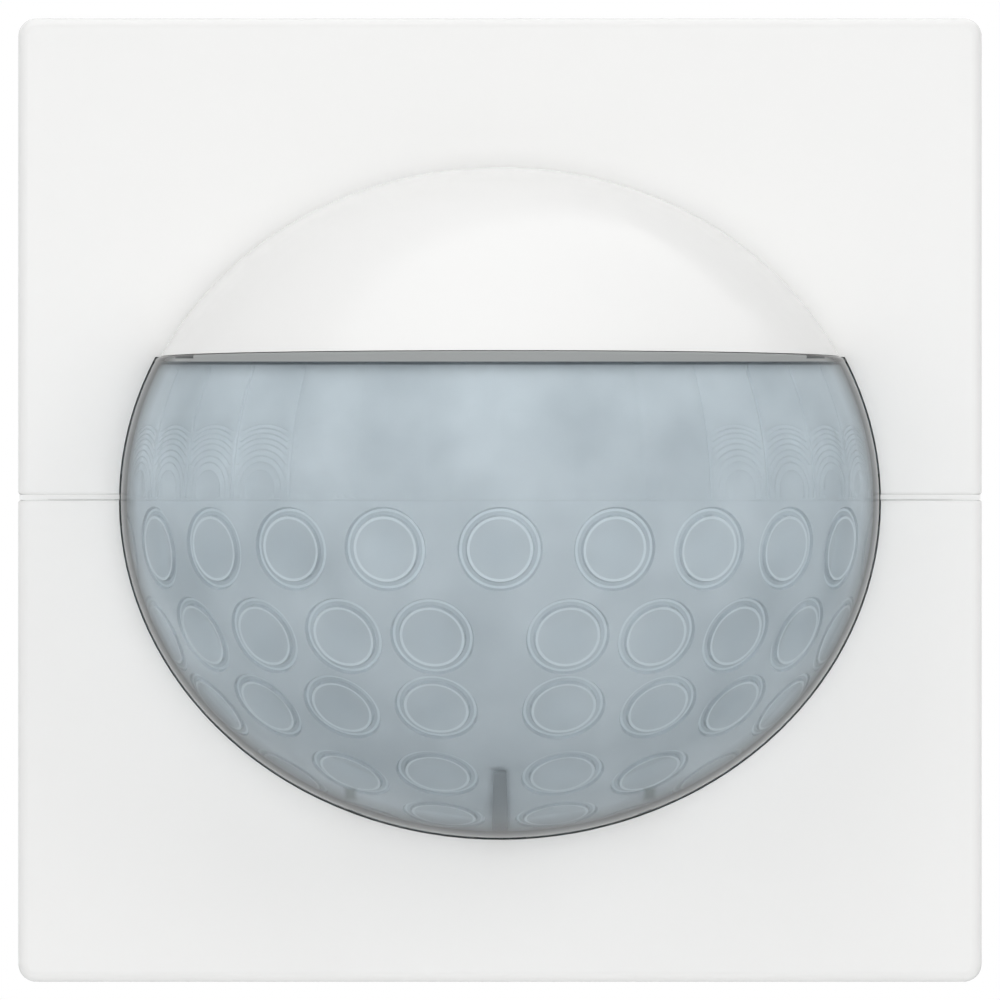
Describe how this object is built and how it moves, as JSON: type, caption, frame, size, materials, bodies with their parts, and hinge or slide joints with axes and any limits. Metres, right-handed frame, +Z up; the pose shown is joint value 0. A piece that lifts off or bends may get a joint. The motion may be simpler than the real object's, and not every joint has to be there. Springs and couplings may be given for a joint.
{
  "type": "presence detector",
  "caption": "Flush wall presence detector head: square white cover in two halves, hood and smoky domed lens over heat sensors, with a plug-in back.",
  "frame": {"origin": "centre of the plane where the attachment sits on the wall insert's ring", "axes": "+Y into the wall, against the way the front faces; +Z up; +X to the right as seen from the room"},
  "size_m": [0.063, 0.0472, 0.063],
  "materials": {
    "cover_white": "satin white",
    "carrier_white": "matte white",
    "holder_white": "matte white",
    "housing_grey": "matte dark grey",
    "lens_smoke": "smoky translucent",
    "screw_steel": "zinc plated",
    "spring_steel": "spring steel",
    "pin_gold": "gold plated",
    "board_green": "solder resist",
    "can_nickel": "nickel plated",
    "window_dark": "coated window",
    "guide_clear": "clear",
    "chip_black": "moulded black",
    "switch_black": "moulded black",
    "trimmer_blue": "moulded blue",
    "dial_grey": "matte grey",
    "slider_white": "matte white",
    "button_grey": "matte grey",
    "light_red": "tinted red",
    "coil_copper": "enamelled copper",
    "capacitor_black": "sleeved can",
    "chip_ceramic": "ceramic"
  },
  "bodies": {
    "base": {"carrier_frame": "carrier_white", "rear_housing": "housing_grey", "housing_screws": "screw_steel", "fresnel_lens": "lens_smoke", "main_board": "board_green", "sensor_holder": "holder_white", "sensor_board_left": "board_green", "sensor_board_right": "board_green", "heat_sensor_left": "can_nickel", "heat_sensor_right": "can_nickel", "sensor_window_left": "window_dark", "sensor_window_right": "window_dark", "link_pins": "pin_gold", "light_sensor": "chip_black", "light_guide": "guide_clear", "status_light": "light_red", "time_trimmer": "trimmer_blue", "brightness_trimmer": "trimmer_blue", "range_trimmer": "trimmer_blue", "mode_switch": "switch_black", "button_switch": "switch_black", "pin_header": "chip_black", "plug_pins": "pin_gold", "retaining_spring_left": "spring_steel", "retaining_spring_right": "spring_steel", "controller_chip": "chip_black", "voltage_regulator": "chip_black", "coil": "coil_copper", "capacitors": "capacitor_black", "chip_components": "chip_ceramic"},
    "upper_cover": {"upper_cover": "cover_white"},
    "lower_cover": {"lower_cover": "cover_white"},
    "time_dial": {"time_dial": "dial_grey"},
    "brightness_dial": {"brightness_dial": "dial_grey"},
    "range_dial": {"range_dial": "dial_grey"},
    "mode_slider": {"mode_slider": "slider_white"},
    "test_button": {"test_button": "button_grey"}
  },
  "joints": [
    {"name": "upper_cover_pull", "type": "slide", "parent": "base", "child": "upper_cover", "axis": [0, -1, 0], "range_m": [0, 0.036]},
    {"name": "lower_cover_pull", "type": "slide", "parent": "base", "child": "lower_cover", "axis": [0, -1, 0], "range_m": [0, 0.036]},
    {"name": "time_dial_turn", "type": "hinge", "parent": "base", "child": "time_dial", "pos_m": [-0.0244, -0.0063, -0.0244], "axis": [0, -1, 0], "range_deg": [-135, 135]},
    {"name": "brightness_dial_turn", "type": "hinge", "parent": "base", "child": "brightness_dial", "pos_m": [-0.01258, -0.0063, -0.0244], "axis": [0, -1, 0], "range_deg": [-135, 135]},
    {"name": "range_dial_turn", "type": "hinge", "parent": "base", "child": "range_dial", "pos_m": [0.0244, -0.0063, -0.0244], "axis": [0, -1, 0], "range_deg": [-135, 135]},
    {"name": "mode_slide", "type": "slide", "parent": "base", "child": "mode_slider", "axis": [1, 0, 0], "range_m": [-0.002, 0.002]},
    {"name": "test_button_press", "type": "slide", "parent": "base", "child": "test_button", "axis": [0, 1, 0], "range_m": [0, 0.0005], "stiffness_N_per_m": 600, "springref_m": -0.0005}
  ]
}
